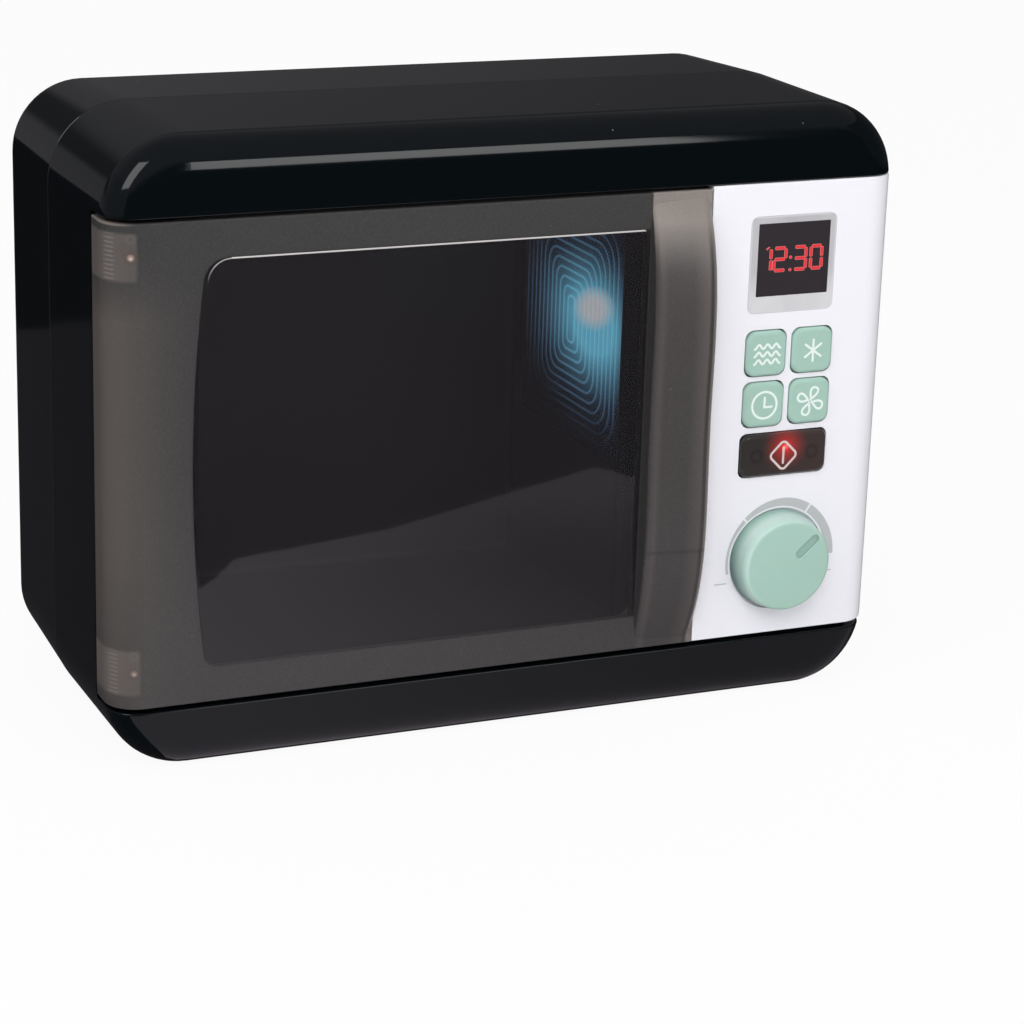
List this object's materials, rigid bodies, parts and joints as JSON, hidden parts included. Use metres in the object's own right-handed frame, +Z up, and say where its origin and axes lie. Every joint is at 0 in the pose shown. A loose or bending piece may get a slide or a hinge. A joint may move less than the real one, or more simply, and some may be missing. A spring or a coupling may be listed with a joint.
{
  "type": "toy microwave oven",
  "caption": "Toy microwave oven with a black case, a smoked swing door with an arched handle, push buttons, a lit start button and a click knob.",
  "frame": {"origin": "on the resting face, at the middle of the case in width and depth", "axes": "+X to the viewer's right along the width, +Y to the back, +Z up; the front faces -Y"},
  "size_m": [0.312, 0.1561, 0.234],
  "materials": {
    "black_gloss": "glossy moulded plastic",
    "black_matte": "matte moulded plastic",
    "smoke": "smoked translucent plastic, frosted with a polished window",
    "smoke_dark": "dark smoked translucent plastic",
    "white_gloss": "glossy moulded plastic",
    "mint": "satin gloss moulded plastic",
    "silver_label": "brushed silver foil label",
    "panel_blue": "translucent blue moulded plastic",
    "lamp_red": "red light-emitting diode",
    "lamp_clear": "clear light-emitting diode",
    "steel": "zinc plated steel",
    "white_matte": "acetal and white moulded plastic",
    "board": "glass-fibre circuit board",
    "rubber": "silicone rubber",
    "cell_wrap": "plain wrapped battery cell",
    "speaker_metal": "painted steel with a paper cone",
    "wire_red": "PVC insulation",
    "wire_black": "PVC insulation"
  },
  "bodies": {
    "case": {"case_front": "black_gloss", "case_rear": "black_gloss", "battery_cover": "black_gloss", "cavity_liner": "black_matte", "battery_box": "black_matte", "door_catch": "black_matte", "board_chip": "black_matte", "control_fascia": "white_gloss", "display_label": "silver_label", "light_panel": "panel_blue", "start_lamp": "lamp_red", "cavity_lamp": "lamp_clear", "hinge_pin_upper": "steel", "hinge_pin_lower": "steel", "case_screws": "steel", "front_screws": "steel", "speaker_screws": "steel", "battery_cover_screw": "steel", "battery_contacts": "steel", "battery_springs": "steel", "click_spring": "white_matte", "lamp_reflector": "white_matte", "circuit_board": "board", "lamp_board": "board", "rubber_keypad": "rubber", "batteries": "cell_wrap", "loudspeaker": "speaker_metal", "battery_wires": "wire_red", "speaker_wires": "wire_black", "lamp_wires": "wire_black"},
    "door_body": {"door": "smoke"},
    "knob_body": {"knob": "mint", "click_wheel": "white_matte", "knob_screw": "steel"},
    "button_waves_body": {"button_waves": "mint"},
    "button_cold_body": {"button_cold": "mint"},
    "button_clock_body": {"button_clock": "mint"},
    "button_fan_body": {"button_fan": "mint"},
    "start_button_body": {"start_button": "smoke_dark"}
  },
  "joints": [
    {"name": "door_hinge", "type": "hinge", "parent": "case", "child": "door_body", "pos_m": [-0.144, -0.0605, 0.115], "axis": [0, 0, -1], "range_deg": [0, 110]},
    {"name": "knob_turn", "type": "hinge", "parent": "case", "child": "knob_body", "pos_m": [0.1119, -0.0725, 0.0567], "axis": [0, 1, 0], "continuous": true},
    {"name": "button_waves_press", "type": "slide", "parent": "case", "child": "button_waves_body", "axis": [0, 1, 0], "range_m": [0, 0.0015], "stiffness_N_per_m": 800, "springref_m": -0.0006, "deforming": ["rubber_keypad"]},
    {"name": "button_cold_press", "type": "slide", "parent": "case", "child": "button_cold_body", "axis": [0, 1, 0], "range_m": [0, 0.0015], "stiffness_N_per_m": 800, "springref_m": -0.0006, "deforming": ["rubber_keypad"]},
    {"name": "button_clock_press", "type": "slide", "parent": "case", "child": "button_clock_body", "axis": [0, 1, 0], "range_m": [0, 0.0015], "stiffness_N_per_m": 800, "springref_m": -0.0006, "deforming": ["rubber_keypad"]},
    {"name": "button_fan_press", "type": "slide", "parent": "case", "child": "button_fan_body", "axis": [0, 1, 0], "range_m": [0, 0.0015], "stiffness_N_per_m": 800, "springref_m": -0.0006, "deforming": ["rubber_keypad"]},
    {"name": "start_button_press", "type": "slide", "parent": "case", "child": "start_button_body", "axis": [0, 1, 0], "range_m": [0, 0.0015], "stiffness_N_per_m": 800, "springref_m": -0.0006, "deforming": ["rubber_keypad"]}
  ]
}
